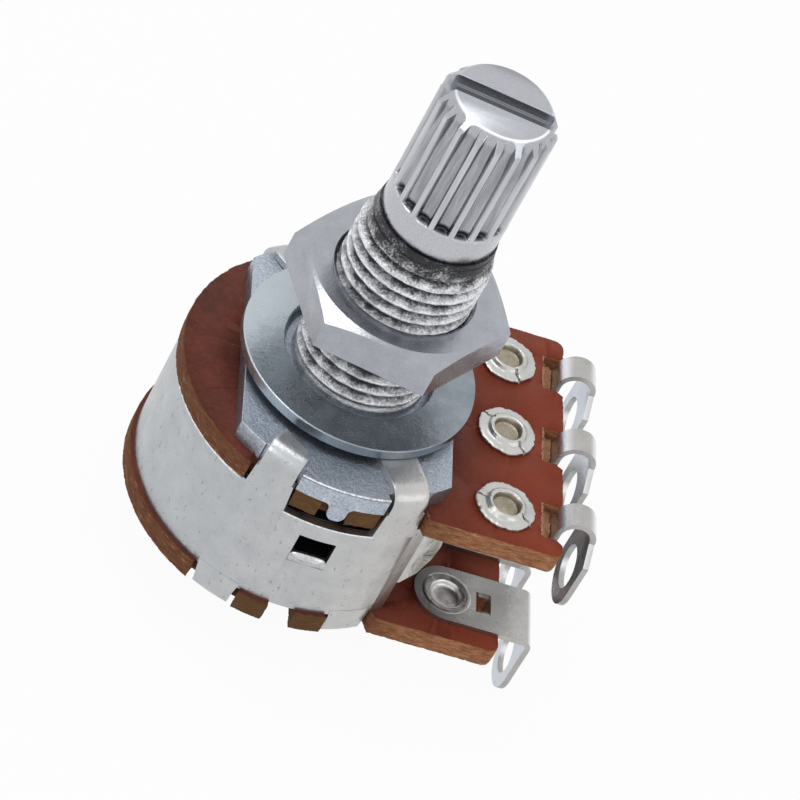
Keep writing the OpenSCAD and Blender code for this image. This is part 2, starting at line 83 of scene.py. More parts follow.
# Sizes in millimetres of forms and marks that only this script makes
TIP_HOLLOW = 0.17
THREAD_DEPTH = 0.46
THREAD_FROM = 0.85
THREAD_FULL = 1.5
FLARE_TOP = 0.7
FLARE = 0.35
TURNED_FROM = 9.2
TURNED_TO = 10.3
TUBE_FOOT = 0.28
TUBE_CUT = 0.345
NUB_R = 0.5
NUB_MIDDLE_Z = -1.6
NUB_FRONT_R = 8.37
NUB_BACK_R = 8.0
TAB_T = 0.38
TAB_BEND_R = 0.94
TAB_BEND_Z = TAB_TOP - TAB_BEND_R
TAB_CUT_Z = -1.0
HOLE_HALF = 0.93
LIP_R = 0.25
RIM_Z = -2.46
SILL_Z = -2.73
EAR_FROM_R = 8.5
EYELET_R = 1.55
EYELET_NECK_R = 0.92
EYELET_REACH = 1.7
EYELET_SPLITS = {1: (-65, 118), 2: (145, -51), 3: (167, -30)}
WINDOW_SET_BACK = 0.28
TRACK_INK_R = 7.1
FLOOR_HALF = 1500
# Each front tab: its angle, end radius, half width at the end, the corner that reaches further, and its lift
FRONT_TABS = (
    (-114.2, 6.9, 0.85, -1, 0.04), (-66.5, 5.0, 1.15, 0, -0.02), (66.5, 6.9, 0.8, 1, 0.08),
    (119.5, 6.2, 0.75, 0, 0.05))

scene = bpy.context.scene


def smoothstep(a, b, x):
    t = min(max((x - a) / (b - a), 0.0), 1.0)
    return t * t * (3 - 2 * t)


def link(obj):
    scene.collection.objects.link(obj)
    return obj


def mesh_object(name, verts, faces):
    """A mesh object from points in millimetres."""
    mesh = bpy.data.meshes.new(name)
    mesh.from_pydata([(x * MM, y * MM, z * MM) for x, y, z in verts], [], faces)
    mesh.update()
    return link(bpy.data.objects.new(name, mesh))


def shade(obj, angle=30):
    """Shades the mesh smooth and keeps the edges sharp that turn by more than an angle."""
    mesh = obj.data
    mesh.polygons.foreach_set("use_smooth", [True] * len(mesh.polygons))
    mesh.set_sharp_from_angle(angle=math.radians(angle))
    mesh.update()


def paint(obj, material):
    obj.data.materials.clear()
    obj.data.materials.append(material)


def place(obj, material, body, slot, *nodes):
    """Paints a piece, lets it ride on a body and has it stand for the nodes that it replaces."""
    paint(obj, material)
    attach(obj, body)
    if nodes:
        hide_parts(*nodes)


@contextlib.contextmanager
def editing(obj):
    """The object's mesh opened for editing, and written back at the end."""
    bm = bmesh.new()
    bm.from_mesh(obj.data)
    yield bm
    bm.to_mesh(obj.data)
    bm.free()


def turn_outward(bm):
    bmesh.ops.recalc_face_normals(bm, faces=bm.faces)


def cut_above(bm, z):
    """Takes away what lies above a height in millimetres, and leaves the cut open."""
    bmesh.ops.bisect_plane(
        bm, geom=bm.verts[:] + bm.edges[:] + bm.faces[:], dist=1e-8,
        plane_co=(0, 0, z * MM), plane_no=(0, 0, 1), clear_outer=True)


def open_edges(bm):
    return [e for e in bm.edges if e.is_boundary]


def ring_faces(rows, columns, flip=False, closed=False):
    """Quads between rings of points that follow each other, and from last to first if closed."""
    faces = []
    for i in range(rows if closed else rows - 1):
        after = (i + 1) % rows
        for j in range(columns):
            k = (j + 1) % columns
            quad = (i * columns + j, i * columns + k, after * columns + k, after * columns + j)
            faces.append((quad[0], quad[3], quad[2], quad[1]) if flip else quad)
    return faces


def slab_faces(rows, columns, first=0):
    """Faces of a closed slab from two grids of rows by columns points, the second after the first."""
    layer = rows * columns
    faces = []
    for i in range(rows - 1):
        for j in range(columns - 1):
            a = first + i * columns + j
            b = a + layer
            faces.append((a, a + columns, a + columns + 1, a + 1))
            faces.append((b, b + 1, b + columns + 1, b + columns))
    rim = list(range(columns))
    rim += [i * columns + columns - 1 for i in range(1, rows)]
    rim += [(rows - 1) * columns + j for j in range(columns - 2, -1, -1)]
    rim += [i * columns for i in range(rows - 2, 0, -1)]
    for k, here in enumerate(rim):
        a = first + here
        b = first + rim[(k + 1) % len(rim)]
        faces.append((a, b, b + layer, a + layer))
    return faces


def copy_of(node, name):
    """A copy of a CAD node's mesh, with the tessellation's seams closed and its flats joined."""
    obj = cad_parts[node].copy()
    obj.data = obj.data.copy()
    obj.name = name
    obj.data.name = name
    obj.parent = None
    obj.matrix_world = Matrix.Identity(4)
    obj.hide_render = False
    obj.hide_viewport = False
    link(obj)
    with editing(obj) as bm:
        bmesh.ops.remove_doubles(bm, verts=bm.verts, dist=1e-7)
        bmesh.ops.dissolve_limit(bm, angle_limit=math.radians(0.6), verts=bm.verts, edges=bm.edges)
    return obj


def add_bevel(obj, width, segments=2, angle=28):
    """Rounds the object's sharp edges by a width in millimetres."""
    bevel = obj.modifiers.new("rounded_edges", "BEVEL")
    bevel.width = width * MM
    bevel.segments = segments
    bevel.limit_method = "ANGLE"
    bevel.angle_limit = math.radians(angle)
    bevel.harden_normals = True
    bevel.use_clamp_overlap = True
    bevel.miter_outer = "MITER_ARC"


def dressed(node, material, body, slot, width=0.05, segments=2, angle=30):
    """The CAD node's own form with rounded edges and a finish, in place of the plain node."""
    obj = copy_of(node, node + "_finish")
    shade(obj, angle)
    add_bevel(obj, width, segments, angle - 2)
    place(obj, material, body, slot, node)


class Nodes:
    """Short calls for building one material's node tree."""

    def __init__(self, name):
        self.material = bpy.data.materials.new(name)
        self.material.use_nodes = True
        self.tree = self.material.node_tree
        self.shader = self.tree.nodes["Principled BSDF"]
        coords = self.new("ShaderNodeTexCoord")
        scale = self.new("ShaderNodeMapping")
        scale.inputs["Scale"].default_value = (1000, 1000, 1000)
        self.join(coords.outputs["Object"], scale.inputs["Vector"])
        self.place = scale.outputs["Vector"]

    def new(self, kind):
        return self.tree.nodes.new(kind)

    def join(self, a, b):
        self.tree.links.new(a, b)

    def stretched(self, scale):
        node = self.new("ShaderNodeMapping")
        node.inputs["Scale"].default_value = scale
        self.join(self.place, node.inputs["Vector"])
        return node.outputs["Vector"]

    def noise(self, scale, detail=3.0, rough=0.55, vector=None, distortion=0.0):
        node = self.new("ShaderNodeTexNoise")
        node.inputs["Scale"].default_value = scale
        node.inputs["Detail"].default_value = detail
        node.inputs["Roughness"].default_value = rough
        node.inputs["Distortion"].default_value = distortion
        self.join(vector or self.place, node.inputs["Vector"])
        return node.outputs["Fac"]

    def cells(self, scale):
        node = self.new("ShaderNodeTexVoronoi")
        node.inputs["Scale"].default_value = scale
        self.join(self.place, node.inputs["Vector"])
        return node.outputs["Distance"]

    def ramp(self, value, low, high, out_low=0.0, out_high=1.0):
        """Runs from out_low to out_high while the value runs from low to high, and is level beyond."""
        node = self.new("ShaderNodeMapRange")
        node.inputs["From Min"].default_value = low
        node.inputs["From Max"].default_value = high
        node.inputs["To Min"].default_value = out_low
        node.inputs["To Max"].default_value = out_high
        self.join(value, node.inputs["Value"])
        return node.outputs["Result"]

    def math(self, kind, a, b):
        node = self.new("ShaderNodeMath")
        node.operation = kind
        for socket, value in zip(node.inputs, (a, b)):
            if isinstance(value, (int, float)):
                socket.default_value = value
            else:
                self.join(value, socket)
        return node.outputs["Value"]

    def times(self, a, b):
        return self.math("MULTIPLY", a, b)

    def unsigned(self, value):
        return self.math("ABSOLUTE", value, 0)

    def band(self, value, rise_from, rise_to, fall_from, fall_to):
        """One between rise_to and fall_from, and nothing beyond the other two."""
        rise = self.ramp(value, rise_from, rise_to)
        return self.times(rise, self.ramp(value, fall_from, fall_to, 1.0, 0.0))

    def mix(self, fac, a, b):
        """Goes from colour a to colour b as the factor goes from 0 to 1."""
        node = self.new("ShaderNodeMix")
        node.data_type = "RGBA"
        if isinstance(fac, (int, float)):
            node.inputs["Factor"].default_value = fac
        else:
            self.join(fac, node.inputs["Factor"])
        for name, value in (("A", a), ("B", b)):
            socket = [s for s in node.inputs if s.name == name and s.type == "RGBA"][0]
            if isinstance(value, (tuple, list)):
                socket.default_value = (*value, 1)
            else:
                self.join(value, socket)
        return [s for s in node.outputs if s.type == "RGBA"][0]

    def bump(self, height, distance_mm, strength=1.0, after=None):
        node = self.new("ShaderNodeBump")
        node.inputs["Strength"].default_value = strength
        node.inputs["Distance"].default_value = distance_mm * MM
        self.join(height, node.inputs["Height"])
        if after is not None:
            self.join(after, node.inputs["Normal"])
        return node.outputs["Normal"]

    def radius(self):
        """Distance from the shaft's axis, in millimetres."""
        node = self.new("ShaderNodeVectorMath")
        node.operation = "LENGTH"
        self.join(self.stretched((1, 1, 0)), node.inputs[0])
        return node.outputs["Value"]

    def axis(self, name):
        node = self.new("ShaderNodeSeparateXYZ")
        self.join(self.place, node.inputs["Vector"])
        return node.outputs[name]

    def facing(self, kind):
        """The parts of the surface's normal, by axis."""
        geometry = self.new("ShaderNodeNewGeometry")
        split = self.new("ShaderNodeSeparateXYZ")
        self.join(geometry.outputs[kind], split.inputs["Vector"])
        return split.outputs

    def set(self, name, value):
        """Gives the shader's socket a number, a colour or another node's output."""
        socket = self.shader.inputs[name]
        if isinstance(value, (int, float)):
            socket.default_value = value
        elif isinstance(value, (tuple, list)):
            socket.default_value = (*value, 1)
        else:
            self.join(value, socket)

    def metal(self, base, rough, normal):
        self.set("Metallic", 1.0)
        self.set("Base Color", base)
        self.set("Roughness", rough)
        self.set("Normal", normal)
        return self.material


def washer_painted_reflection(n, base):
    """Painted reflection: lighter and bluer towards the washer's left."""
    return n.mix(n.ramp(n.axis("X"), -5.5, 1.5, 0.75, 0.0), base, (0.56, 0.62, 0.66)), None


def housing_wear_and_light(n, base):
    """The housing's dark flecks, with painted reflections, cool on the left and warm from the red boards on
    the right, painted shade in the ears' folds and painted highlights along the cut edges.
    """
    x = n.axis("X")
    z = n.axis("Z")
    aside = n.unsigned(x)
    # Painted reflections: cooler on the left, warm on the right from the red boards.
    base = n.mix(n.ramp(x, -6.0, 6.0, 0.5, 0.0), base, (0.46, 0.5, 0.54))
    base = n.mix(n.ramp(x, 0.0, 8.0, 0.0, 0.5), base, (0.6, 0.575, 0.53))
    flecks = n.noise(5.0, 3.0, 0.7, n.stretched((1, 1, 0.45)))
    base = n.mix(n.ramp(flecks, 0.62, 0.7, 0.0, 0.75), base, (0.2, 0.2, 0.2))
    # Painted shade: darker folds across the ears, with a matching bump.
    ear = n.ramp(n.radius(), EAR_FROM_R, EAR_FROM_R + 0.25)
    folds = n.noise(0.8, 3.0, 0.6, None, 0.8)
    crease_shade = n.times(ear, n.ramp(folds, 0.4, 0.58, 0.0, 0.8))
    base = n.mix(crease_shade, base, (0.2, 0.2, 0.17))
    # Painted highlights: bright bands along the can's cut rim and the window's sill, broken up by noise.
    rim = n.band(z, RIM_Z - 0.08, RIM_Z - 0.03, RIM_Z + 0.04, RIM_Z + 0.08)
    clear_of_tabs = n.ramp(aside, 4.6, 5.1)
    sill = n.band(z, SILL_Z - 0.07, SILL_Z - 0.03, SILL_Z + 0.03, SILL_Z + 0.07)
    in_window = n.times(n.ramp(aside, 2.28, 2.36, 1.0, 0.0), n.ramp(n.axis("Y"), -7.6, -7.9))
    edges = n.math("MAXIMUM", n.times(rim, clear_of_tabs), n.times(sill, in_window))
    wear_and_highlight = n.ramp(n.noise(5.0, 3.0, 0.7), 0.38, 0.55, 0.2, 0.9)
    base = n.mix(n.times(edges, wear_and_highlight), base, (0.92, 0.92, 0.93))
    return base, n.times(ear, folds)


def strip_painted_light(n, base):
    """Painted light on a bent strip by the way it faces: painted shade where it turns down, a painted
    highlight across its bend and a bluish painted reflection on faces turned to -X.
    """
    facing = n.facing("Normal")
    base = n.mix(n.ramp(facing["Z"], -0.6, 0.0, 0.7, 0.0), base, (0.17, 0.19, 0.23))
    crest_highlight = n.band(facing["Z"], 0.3, 0.55, 0.7, 0.92)
    base = n.mix(n.times(crest_highlight, 0.75), base, (0.88, 0.89, 0.9))
    base = n.mix(n.ramp(facing["X"], -0.95, -0.6, 0.6, 0.0), base, (0.66, 0.72, 0.82))
    return base, None


def plated_metal(name, colour, dark, rough, rough_span, grain, pit=0.0, pit_scale=3.0, marks=None):
    """Plated or tinned metal: cloudy tone, uneven gloss, fine grain, small pits, and a piece's own marks with
    its painted light.
    """
    n = Nodes(name)
    tone = n.math("ADD", n.times(n.noise(0.9, 4.0, 0.6), 0.65), n.times(n.noise(9.0, 3.0, 0.6), 0.35))
    base = n.mix(n.ramp(tone, 0.3, 0.7), dark, colour)
    relief = None
    if marks:
        base, relief = marks(n, base)
    normal = n.bump(n.noise(grain, 4.0, 0.65), 0.008)
    normal = n.bump(n.noise(1.6, 2.0), 0.03, 0.6, normal)
    if relief is not None:
        normal = n.bump(relief, 0.5, 1.0, normal)
    if pit:
        cells = n.cells(pit_scale)
        normal = n.bump(n.ramp(cells, 0.05, 0.22), pit, 1.0, normal)
        base = n.mix(n.ramp(cells, 0.04, 0.2, 0.35, 0.0), base, dark)
    return n.metal(base, n.ramp(tone, 0.3, 0.7, rough + rough_span, rough), normal)


def casting(name):
    """Die-cast and plated: blue-grey, flecked skin with dark pores, a painted highlight along the plate's
    front top edge and a dark band just below it.
    """
    n = Nodes(name)
    r = n.radius()
    z = n.axis("Z")
    speck = n.noise(8.0, 5.0, 0.75)
    base = n.mix(n.ramp(speck, 0.38, 0.66), (0.28, 0.32, 0.375), (0.6, 0.65, 0.73))
    base = n.mix(n.ramp(n.noise(2.6, 4.0, 0.7), 0.54, 0.66, 0.0, 0.5), base, (0.62, 0.66, 0.72))
    base = n.mix(n.ramp(n.noise(1.1, 2.0), 0.4, 0.7, 0.0, 0.4), base, (0.38, 0.42, 0.49))
    base = n.mix(n.ramp(n.cells(5.0), 0.03, 0.15, 0.6, 0.0), base, (0.07, 0.07, 0.08))
    # Painted highlight along the plate's front top edge, broken up by noise.
    edge = n.times(n.ramp(r, PLATE_FRONT_R - 0.09, PLATE_FRONT_R - 0.06), n.ramp(z, -0.08, -0.05))
    wear_and_highlight = n.ramp(n.noise(6.0, 4.0, 0.7), 0.4, 0.56, 0.1, 0.95)
    base = n.mix(n.times(edge, wear_and_highlight), base, (0.96, 0.96, 0.98))
    # A dark band on the front face just below that edge.
    front = n.ramp(r, PLATE_FRONT_R - 0.03, PLATE_FRONT_R - 0.01, 0.0, 0.7)
    under = n.times(n.band(z, -0.16, -0.12, -0.1, -0.08), front)
    base = n.mix(under, base, (0.1, 0.1, 0.11))
    normal = n.bump(speck, 0.03)
    normal = n.bump(n.noise(2.6, 3.0), 0.05, 0.7, normal)
    return n.metal(base, n.ramp(speck, 0.3, 0.7, 0.42, 0.26), normal)


def thread_metal(name):
    """Plated thread: painted highlights on the crests and painted shade in the valleys, with blotches and
    grain, and darker towards the top.
    """
    n = Nodes(name)
    grain = n.noise(9.0, 5.0, 0.8)
    blotch = n.noise(0.9, 4.0, 0.65)
    # Painted highlights on the crests and painted shade in the valleys, by distance from the axis.
    crest_highlight = n.ramp(n.radius(), BUSHING_R - 0.38, BUSHING_R, 0.0, 0.8)
    wear_and_highlight = n.math("ADD", crest_highlight, n.ramp(blotch, 0.36, 0.62, -0.22, 0.32))
    wear_and_highlight = n.times(wear_and_highlight, n.ramp(n.axis("Z"), BUSHING_TOP - 0.75, BUSHING_TOP - 0.5, 1.0, 0.5))
    wear_and_highlight = n.math("ADD", wear_and_highlight, n.ramp(grain, 0.35, 0.65, -0.3, 0.3))
    base = n.mix(n.ramp(wear_and_highlight, 0.1, 0.9), (0.045, 0.045, 0.05), (0.84, 0.85, 0.88))
    normal = n.bump(grain, 0.06)
    normal = n.bump(blotch, 0.05, 0.6, normal)
    return n.metal(base, n.ramp(grain, 0.3, 0.7, 0.32, 0.14), normal)


def spindle_metal(name):
    """Nickel on the shaft: pale ridges, greyer grooves, painted shade in the pockets at the knurl's foot and
    in the slot, and painted highlights on the tip's rim and the slot's floor.
    """
    n = Nodes(name)
    r = n.radius()
    z = n.axis("Z")
    fine = n.noise(13.0, 3.0, 0.6)
    grained = n.ramp(fine, 0.3, 0.7)
    drawn = n.noise(4.0, 4.0, 0.65, n.stretched((1, 1, 0.1)))
    on_ridge = n.ramp(r, SHAFT_R - KNURL_DEPTH + 0.03, SHAFT_R - 0.06)
    groove = n.mix(n.ramp(drawn, 0.35, 0.65), (0.27, 0.28, 0.305), (0.4, 0.41, 0.44))
    ridge = n.mix(n.ramp(drawn, 0.3, 0.7), (0.46, 0.47, 0.5), (0.6, 0.61, 0.64))
    base = n.mix(on_ridge, groove, ridge)
    collar = n.ramp(z, KNURL_FOOT - 0.06, KNURL_FOOT - 0.02, 1.0, 0.0)
    base = n.mix(collar, base, n.mix(grained, (0.44, 0.45, 0.48), (0.56, 0.57, 0.61)))
    tip = n.ramp(z, SHAFT_TOP - 0.8, SHAFT_TOP - 0.6)
    base = n.mix(tip, base, n.mix(grained, (0.4, 0.41, 0.445), (0.48, 0.49, 0.53)))
    # Painted highlight: a bright rim round the tip's flat top, on the side towards -Y only.
    rim = n.band(r, TIP_R - 0.1, TIP_R - 0.05, TIP_R + 0.01, TIP_R + 0.06)
    rim = n.times(rim, n.ramp(z, SHAFT_TOP - 0.12, SHAFT_TOP - 0.06))
    highlight_side = n.ramp(n.axis("Y"), -1.2, 0.6, 1.0, 0.15)
    base = n.mix(n.times(rim, highlight_side), base, (0.93, 0.93, 0.95))
    # Painted shade in the grooves' pockets at the knurl's foot.
    foot = n.band(z, KNURL_FOOT - 0.02, KNURL_FOOT + 0.02, KNURL_FOOT + 0.15, KNURL_FOOT + 0.5)
    pocket_shade = n.times(foot, n.ramp(r, SHAFT_R - 0.28, SHAFT_R - 0.1, 0.9, 0.0))
    base = n.mix(pocket_shade, base, (0.035, 0.035, 0.04))
    # Painted shade inside the slot, and a painted highlight across the slot's floor.
    below_top = n.ramp(z, SHAFT_TOP - 0.1, SHAFT_TOP - 0.04, 1.0, 0.0)
    in_slot = n.times(below_top, n.ramp(r, SHAFT_R - 0.8, SHAFT_R - 0.5, 1.0, 0.0))
    base = n.mix(in_slot, base, (0.3, 0.31, 0.33))
    floor = SHAFT_TOP - SLOT_DEPTH
    slot_floor_highlight = n.band(z, floor + 0.01, floor + 0.03, floor + 0.07, floor + 0.1)
    base = n.mix(n.times(slot_floor_highlight, in_slot), base, (0.9, 0.9, 0.92))
    satin_top = n.ramp(z, SHAFT_TOP - 0.06, SHAFT_TOP - 0.02, 0.0, 0.42)
    rough = n.math("MAXIMUM", n.ramp(drawn, 0.3, 0.7, 0.28, 0.18), satin_top)
    normal = n.bump(fine, 0.003)
    normal = n.bump(drawn, 0.008, 0.6, normal)
    return n.metal(base, rough, normal)


def laminate(name):
    """Paper laminate: red-brown satin faces, and fibrous cut edges that are lighter on the tails, with
    painted shade on the edges inside the front window.
    """
    n = Nodes(name)
    x = n.axis("X")
    cloud = n.noise(0.5, 4.0, 0.6)
    grain = n.noise(5.0, 4.0, 0.7)
    face = n.mix(n.ramp(cloud, 0.35, 0.65), (0.075, 0.016, 0.009), (0.13, 0.026, 0.013))
    face = n.mix(n.ramp(x, 3.0, 11.5, 0.0, 0.85), face, (0.33, 0.055, 0.022))
    face = n.mix(n.ramp(grain, 0.42, 0.72, 0.0, 0.25), face, (0.34, 0.08, 0.04))
    fibres = n.noise(1.5, 6.0, 0.85, n.stretched((1, 1, 5)))
    round_edge = n.mix(n.ramp(fibres, 0.4, 0.6), (0.12, 0.045, 0.022), (0.23, 0.094, 0.045))
    tail_edge = n.mix(n.ramp(fibres, 0.42, 0.58), (0.27, 0.1, 0.045), (0.52, 0.25, 0.12))
    edge = n.mix(n.ramp(x, 4.0, 7.0, 0.0, 0.9), round_edge, tail_edge)
    torn = n.times(n.ramp(fibres, 0.56, 0.68), n.ramp(n.noise(0.7, 2.0, 0.5), 0.44, 0.62))
    edge = n.mix(torn, edge, (0.62, 0.38, 0.22))
    # Painted shade on the board edges inside the housing's front window.
    in_front = n.ramp(n.axis("Y"), -7.5, -7.8)
    in_window = n.times(in_front, n.ramp(n.unsigned(x), 2.6, 2.9, 0.55, 0.0))
    edge = n.mix(in_window, edge, (0.11, 0.07, 0.022))
    level = n.ramp(n.unsigned(n.facing("True Normal")["Z"]), 0.75, 0.93)
    n.set("Base Color", n.mix(level, edge, face))
    n.set("Roughness", n.ramp(level, 0.0, 1.0, 0.85, 0.48))
    n.set("Specular IOR Level", 0.2)
    normal = n.bump(fibres, 0.045, 0.8)
    n.set("Normal", n.bump(grain, 0.01, 0.8, normal))
    return n.material


def moulding(name, colour, rough):
    """Moulded plastic or bare fibre, a little uneven in tone."""
    n = Nodes(name)
    fine = n.noise(8.0, 3.0, 0.6)
    n.set("Base Color", n.mix(n.ramp(fine, 0.3, 0.7), tuple(c * 0.7 for c in colour), colour))
    n.set("Roughness", n.ramp(fine, 0.3, 0.7, rough + 0.12, rough))
    n.set("Normal", n.bump(fine, 0.01))
    return n.material


def carbon_print(name):
    """Carbon ink inside the housing, under the board's own lacquer where it runs out to the terminals."""
    n = Nodes(name)
    inked = n.ramp(n.radius(), TRACK_INK_R, TRACK_INK_R + 0.15, 1.0, 0.0)
    n.set("Base Color", n.mix(inked, (0.24, 0.042, 0.018), (0.02, 0.02, 0.022)))
    n.set("Roughness", 0.48)
    n.set("Specular IOR Level", 0.2)
    n.set("Normal", n.bump(n.noise(8.0, 3.0, 0.6), 0.01))
    return n.material


NICKEL = spindle_metal("nickel_plate")
NUT_ZINC = plated_metal("nut_plate", (0.43, 0.445, 0.485), (0.33, 0.345, 0.38), 0.2, 0.1, 12.0)
# The washer's zinc, with a painted reflection on its left.
ZINC = plated_metal(
    "zinc_plate", (0.33, 0.365, 0.4), (0.2, 0.23, 0.265), 0.22, 0.12, 10.0, 0.003, 3.2, washer_painted_reflection)
CAST = casting("zinc_casting")
THREAD = thread_metal("plated_thread")
# The housing's tin, with its flecks and its painted reflections, shade and highlights.
TIN = plated_metal(
    "tinned_sheet", (0.58, 0.575, 0.57), (0.42, 0.42, 0.42), 0.28, 0.12, 8.0, 0.005, 2.6, housing_wear_and_light)
# The rolled lip's tin, painted brighter than the wall as a highlight.
LIP_TIN = plated_metal("lip_tin_painted_highlight", (0.82, 0.82, 0.83), (0.42, 0.42, 0.43), 0.22, 0.1, 6.0)
# Tinned brass for the terminals and drawn rings, with painted light by the way each face turns.
TINNED_BRASS = plated_metal(
    "tinned_brass", (0.5, 0.495, 0.48), (0.36, 0.355, 0.345), 0.24, 0.12, 8.0, 0.006, 3.0, strip_painted_light)
FLANGE = plated_metal("eyelet_tin", (0.62, 0.62, 0.6), (0.46, 0.455, 0.44), 0.3, 0.12, 7.0)
SPRING = plated_metal("spring_steel", (0.3, 0.3, 0.32), (0.2, 0.2, 0.21), 0.3, 0.1, 10.0)
BRASS = plated_metal("contact_brass", (0.66, 0.5, 0.24), (0.5, 0.36, 0.16), 0.25, 0.1, 10.0)
SILVER = plated_metal("silver_print", (0.62, 0.62, 0.6), (0.45, 0.45, 0.44), 0.4, 0.1, 14.0)
BOARD = laminate("laminate")
BURR = moulding("torn_fibre", (0.62, 0.36, 0.24), 0.7)
CARBON = carbon_print("carbon_print")
TORN = moulding("torn_edge", (0.56, 0.29, 0.15), 0.8)
CUP = plated_metal("eyelet_cup", (0.5, 0.45, 0.36), (0.22, 0.19, 0.14), 0.34, 0.12, 9.0)
BOWL = plated_metal("eyelet_bowl", (0.82, 0.81, 0.78), (0.55, 0.54, 0.52), 0.3, 0.1, 6.0)
BLACK = moulding("black_moulding", (0.03, 0.03, 0.034), 0.45)


def thread_r(angle, z):
    """Radius of the bushing's threaded outside at an angle and a height."""
    phase = (z / PITCH - angle / TAU) % 1.0
    away = abs(2 * phase - 1)
    groove = max(0.0, 1 - away / 0.86) ** 0.9
    r = BUSHING_R - THREAD_DEPTH * groove * smoothstep(THREAD_FROM, THREAD_FULL, z)
    if z < FLARE_TOP:
        r = BUSHING_R + FLARE * (1 - smoothstep(0.3, 0.72, z))
    turned_down = BUSHING_R - 0.3 * smoothstep(TURNED_FROM, TURNED_TO, z)
    turned_down -= 0.12 * smoothstep(10.2, BUSHING_TOP, z)
    r = min(r, turned_down)
    spot = Vector((math.cos(angle) * r, math.sin(angle) * r, z)) * 3.1
    rough = noise.fractal(spot, 0.6, 2.0, 3)
    return r + 0.022 * rough * smoothstep(0.7, 1.2, z)


def threaded_tube():
    """The bushing's tube as one closed mesh, with a true helical thread."""
    columns = 150
    rows = 290
    levels = [TUBE_FOOT + (BUSHING_TOP - TUBE_FOOT) * k / rows for k in range(rows + 1)]
    rings = [(z, None) for z in levels]
    rings += [(BUSHING_TOP, 2.98), (BUSHING_TOP - 0.03, 2.84), (BUSHING_TOP - 0.34, BORE_R)]
    rings += [(6.0, BORE_R), (TUBE_FOOT, BORE_R)]
    verts = []
    for z, fixed in rings:
        for j in range(columns):
            a = TAU * j / columns
            r = fixed if fixed else thread_r(a, z)
            lift = 0.02 * noise.noise(Vector((math.cos(a) * 5, math.sin(a) * 5, z * 4)))
            top = z + (lift if z > BUSHING_TOP - 0.1 else 0)
            verts.append((r * math.cos(a), r * math.sin(a), top))
    tube = mesh_object("bushing_tube", verts, ring_faces(len(rings), columns, closed=True))
    shade(tube, 50)
    return tube


def plate_only():
    """The casting's plate and stop, with its tube cut off level just above the plate."""
    obj = copy_of("bushing_plate", "bushing_plate_finish")
    with editing(obj) as bm:
        cut_above(bm, TUBE_CUT)
        bmesh.ops.bridge_loops(bm, edges=open_edges(bm))
        turn_outward(bm)
    shade(obj)
    add_bevel(obj, 0.05)
    return obj


def groove_r(angle):
    """Radius of the knurl at an angle: narrow ridges and hollow grooves between them."""
    step = TAU / KNURL_TEETH
    across = ((angle - KNURL_TURN) / step + 0.5) % 1.0 - 0.5
    gap = step * SHAFT_R - RIDGE_W
    side = abs(across) * step * SHAFT_R
    flank = smoothstep(gap * 0.38, gap * 0.5, side)
    hollow = KNURL_DEPTH + TIP_HOLLOW * (1 - min(1.0, side / (gap * 0.5)) ** 2)
    return SHAFT_R - hollow * (1 - flank)


def plate_nub():
    """The plate's locating nub, flush with the plate's front edge and filleted into it."""
    levels = [(-0.88, 0.8), (-1.04, 0.8), (-1.12, 0.64), (-1.24, 0.54), (-1.4, NUB_R), (NUB_MIDDLE_Z, NUB_R)]
    for k in range(1, 8):
        a = k * math.pi / 16
        levels.append((NUB_MIDDLE_Z - NUB_R * math.sin(a), NUB_R * math.cos(a)))
    levels.append((NUB_MIDDLE_Z - NUB_R, 0.01))
    shares = (-1, -0.93, -0.7, -0.35, 0, 0.35, 0.7, 0.93, 1)
    verts = []
    for back in (False, True):
        for z, half in levels:
            for share in shares:
                x = half * share
                r = NUB_FRONT_R - (0.035 if abs(share) == 1 or z < -2.09 else 0)
                if z > -1.1:
                    r = PLATE_FRONT_R + (0.004 if z < -0.95 else -0.004)
                if back:
                    r = NUB_BACK_R
                verts.append((x, -math.sqrt(r * r - x * x), z))
    nub = mesh_object("plate_nub", verts, slab_faces(len(levels), len(shares)))
    with editing(nub) as bm:
        turn_outward(bm)
    shade(nub, 40)
    place(nub, CAST, "base", "zinc_casting")


